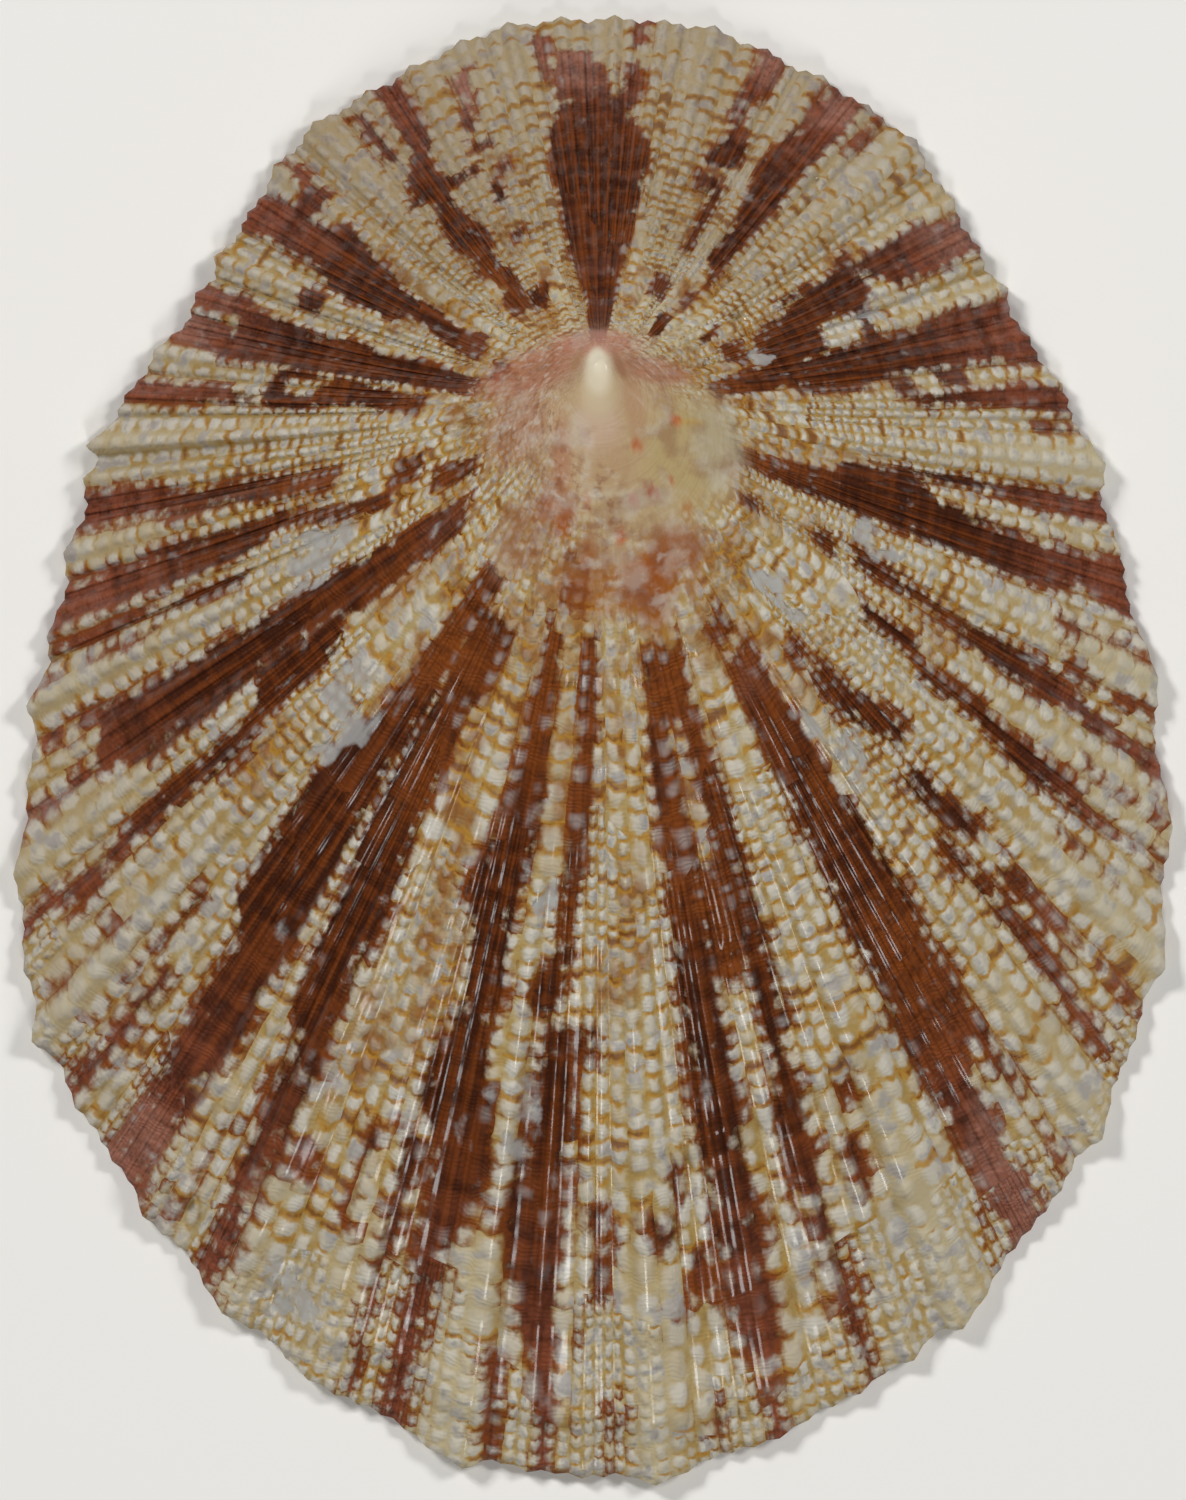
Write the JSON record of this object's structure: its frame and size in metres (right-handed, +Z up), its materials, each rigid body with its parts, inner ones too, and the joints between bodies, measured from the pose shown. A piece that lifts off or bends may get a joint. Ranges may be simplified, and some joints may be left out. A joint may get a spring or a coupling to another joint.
{
  "type": "limpet shell",
  "caption": "Low oval limpet shell: a hollow ribbed cap with its apex towards the narrow front and a wavy rim that rests flat, cream with red-brown rays.",
  "frame": {"origin": "centre of the shell's plan box, on the surface that the rim rests on", "axes": "+Y towards the narrow front end, +X towards the right side seen from above, +Z up through the apex"},
  "size_m": [0.0552, 0.07, 0.0175],
  "materials": {
    "shell": "glossy natural shell, cream beads with ochre net and red-brown rays"
  },
  "bodies": {
    "root": {"shell": "shell"}
  },
  "joints": []
}
